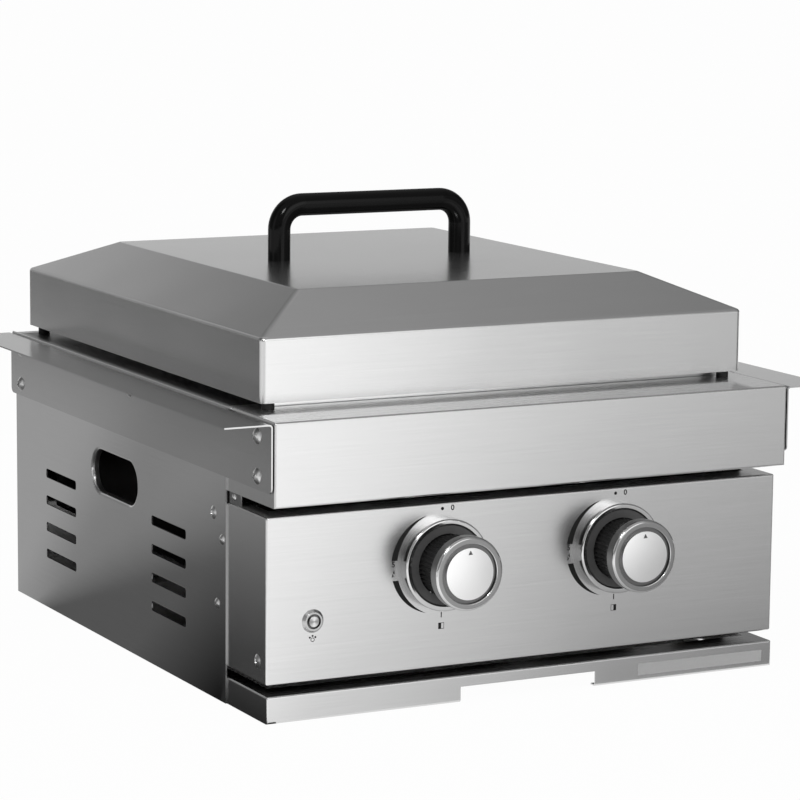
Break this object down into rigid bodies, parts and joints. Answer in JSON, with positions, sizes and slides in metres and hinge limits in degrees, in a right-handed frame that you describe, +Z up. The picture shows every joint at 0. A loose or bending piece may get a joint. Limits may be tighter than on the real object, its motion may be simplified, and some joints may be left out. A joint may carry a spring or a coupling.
{
  "type": "built-in gas grill",
  "caption": "Built-in gas grill with a lift-off hipped lid, folded stainless body, hanger flanges, push-and-turn knobs in chrome bezels and side vents.",
  "frame": {"origin": "on the surface that the grill stands on, under the middle of its bounding box", "axes": "+X to the right seen from the front, +Y from the knobs to the back, +Z up"},
  "size_m": [0.5388, 0.5824, 0.3748],
  "materials": {
    "brushed_stainless": "brushed along each sheet's length",
    "firebox_steel": "plain stainless, dulled by heat",
    "grate_steel": "round stainless rod",
    "screw_steel": "plain steel",
    "polished_chrome": "polished",
    "satin_disc": "fine satin",
    "black_grip": "moulded, ribbed",
    "black_handle": "semi-gloss black coating",
    "black_rubber": "moulded",
    "light_ring_plastic": "smoked translucent",
    "manifold_steel": "grey",
    "valve_aluminium": "as cast",
    "gas_brass": "machined",
    "igniter_ceramic": "glazed white"
  },
  "bodies": {
    "body": {"apron_straps": "brushed_stainless", "bracket_screws": "screw_steel", "burner_rests": "firebox_steel", "button_housing": "polished_chrome", "button_nut": "screw_steel", "control_panel": "brushed_stainless", "control_panel_screws": "screw_steel", "cup_rails": "firebox_steel", "firebox": "firebox_steel", "front_apron": "brushed_stainless", "front_sill": "brushed_stainless", "gas_inlet": "gas_brass", "gas_manifold": "manifold_steel", "grate_ledges": "firebox_steel", "heat_plate_ledges": "firebox_steel", "left_bezel": "polished_chrome", "left_burner": "firebox_steel", "left_hanger_bracket": "brushed_stainless", "left_heat_plate": "firebox_steel", "left_igniter": "igniter_ceramic", "left_jet": "gas_brass", "left_light_ring": "light_ring_plastic", "left_side_panel": "brushed_stainless", "left_valve_body": "valve_aluminium", "manifold_brackets": "manifold_steel", "rear_panel": "brushed_stainless", "right_bezel": "polished_chrome", "right_burner": "firebox_steel", "right_hanger_bracket": "brushed_stainless", "right_heat_plate": "firebox_steel", "right_igniter": "igniter_ceramic", "right_jet": "gas_brass", "right_light_ring": "light_ring_plastic", "right_side_panel": "brushed_stainless", "right_valve_body": "valve_aluminium", "side_panel_screws": "screw_steel", "strap_screws": "screw_steel"},
    "lid": {"lid_shell": "brushed_stainless", "lid_feet": "black_rubber", "lid_handle": "black_handle", "handle_bolts": "screw_steel"},
    "light_button": {"light_button": "polished_chrome"},
    "grease_cup": {"grease_cup": "firebox_steel"},
    "left_grate": {"left_cooking_grate": "grate_steel"},
    "left_valve_plug": {"left_valve_plug": "gas_brass"},
    "left_knob": {"left_valve_stem": "gas_brass", "left_knob_grip": "black_grip", "left_knob_cap": "polished_chrome", "left_knob_disc": "satin_disc"},
    "left_air_shutter": {"left_air_shutter": "firebox_steel"},
    "right_grate": {"right_cooking_grate": "grate_steel"},
    "right_valve_plug": {"right_valve_plug": "gas_brass"},
    "right_knob": {"right_valve_stem": "gas_brass", "right_knob_grip": "black_grip", "right_knob_cap": "polished_chrome", "right_knob_disc": "satin_disc"},
    "right_air_shutter": {"right_air_shutter": "firebox_steel"}
  },
  "joints": [
    {"name": "lid_lift", "type": "slide", "parent": "body", "child": "lid", "axis": [0, 0, 1], "range_m": [0, 0.25]},
    {"name": "light_button_push", "type": "slide", "parent": "body", "child": "light_button", "axis": [0, 1, 0], "range_m": [0, 0.002], "stiffness_N_per_m": 400, "springref_m": -0.002},
    {"name": "grease_cup_slide", "type": "slide", "parent": "body", "child": "grease_cup", "axis": [0, -1, 0], "range_m": [0, 0.15]},
    {"name": "left_grate_lift", "type": "slide", "parent": "body", "child": "left_grate", "axis": [0, 0, 1], "range_m": [0, 0.045]},
    {"name": "left_knob_turn", "type": "hinge", "parent": "body", "child": "left_valve_plug", "pos_m": [-0.078, -0.24375, 0.1125], "axis": [0, -1, 0], "range_deg": [0, 180]},
    {"name": "left_knob_push", "type": "slide", "parent": "left_valve_plug", "child": "left_knob", "axis": [0, 1, 0], "range_m": [0, 0.0035], "stiffness_N_per_m": 800, "springref_m": -0.004},
    {"name": "left_air_shutter_turn", "type": "hinge", "parent": "body", "child": "left_air_shutter", "pos_m": [-0.078, -0.177, 0.1125], "axis": [0, 1, 0], "range_deg": [0, 60]},
    {"name": "right_grate_lift", "type": "slide", "parent": "body", "child": "right_grate", "axis": [0, 0, 1], "range_m": [0, 0.045]},
    {"name": "right_knob_turn", "type": "hinge", "parent": "body", "child": "right_valve_plug", "pos_m": [0.078, -0.24375, 0.1125], "axis": [0, -1, 0], "range_deg": [0, 180]},
    {"name": "right_knob_push", "type": "slide", "parent": "right_valve_plug", "child": "right_knob", "axis": [0, 1, 0], "range_m": [0, 0.0035], "stiffness_N_per_m": 800, "springref_m": -0.004},
    {"name": "right_air_shutter_turn", "type": "hinge", "parent": "body", "child": "right_air_shutter", "pos_m": [0.078, -0.177, 0.1125], "axis": [0, 1, 0], "range_deg": [0, 60]}
  ]
}
